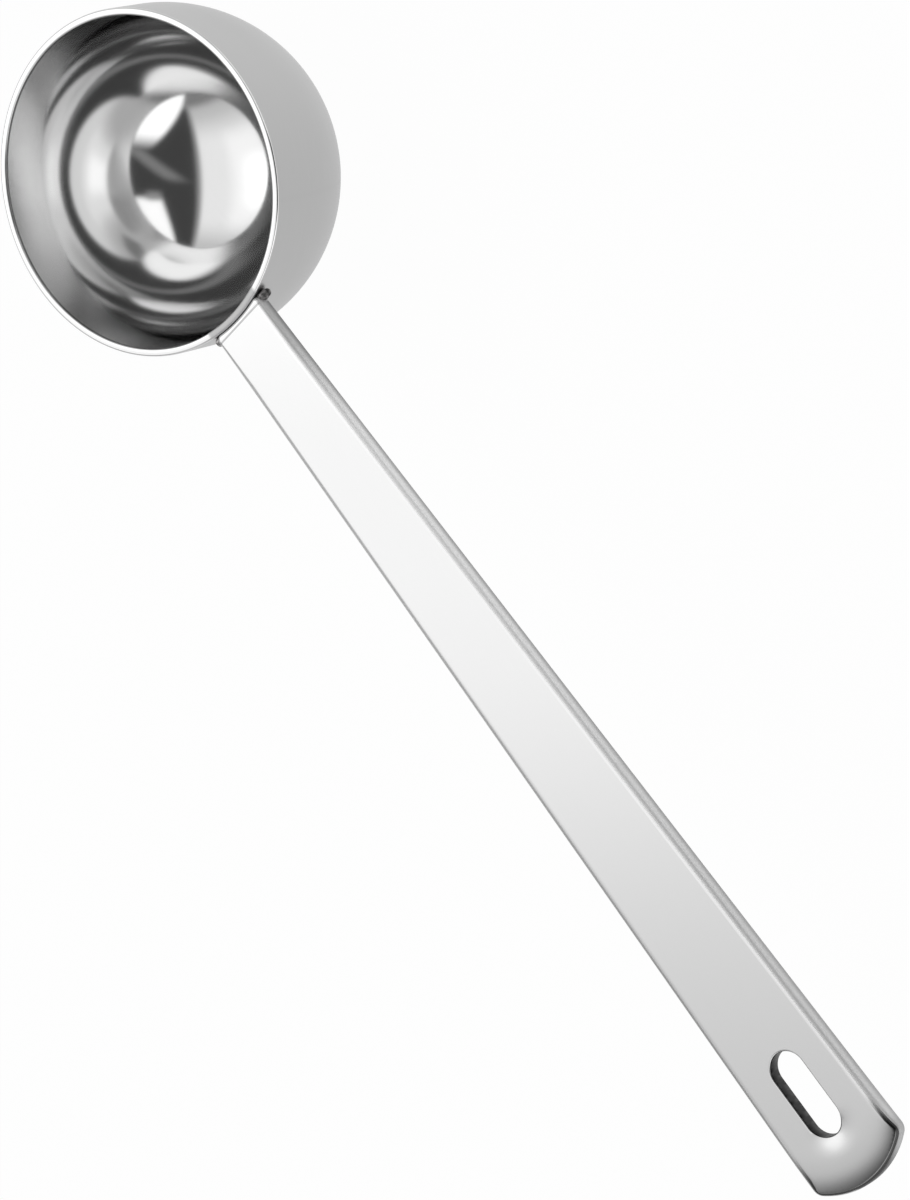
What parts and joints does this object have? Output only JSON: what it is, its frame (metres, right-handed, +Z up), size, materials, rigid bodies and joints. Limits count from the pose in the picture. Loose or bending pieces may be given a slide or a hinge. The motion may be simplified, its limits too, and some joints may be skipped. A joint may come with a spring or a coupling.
{
  "type": "measuring spoon",
  "caption": "Long-handled measuring spoon: a deep round steel cup with a level rim, welded to a flat bar handle that widens towards its tip and has a hanging slot there.",
  "frame": {"origin": "centre of the bowl's mouth, in the plane of the rim", "axes": "+Z up out of the mouth, square to the rim; the handle runs along -Y, level with the rim; X is across the handle"},
  "size_m": [0.045, 0.18, 0.029],
  "materials": {
    "bowl_steel": "stainless steel, mirror polished inside and along the rim, satin outside",
    "handle_steel": "stainless steel, polished face and rounded, polished edges",
    "weld_steel": "weld metal, dull and darkened by heat"
  },
  "bodies": {
    "root": {"bowl": "bowl_steel", "handle": "handle_steel", "weld_left": "weld_steel", "weld_right": "weld_steel"}
  },
  "joints": []
}
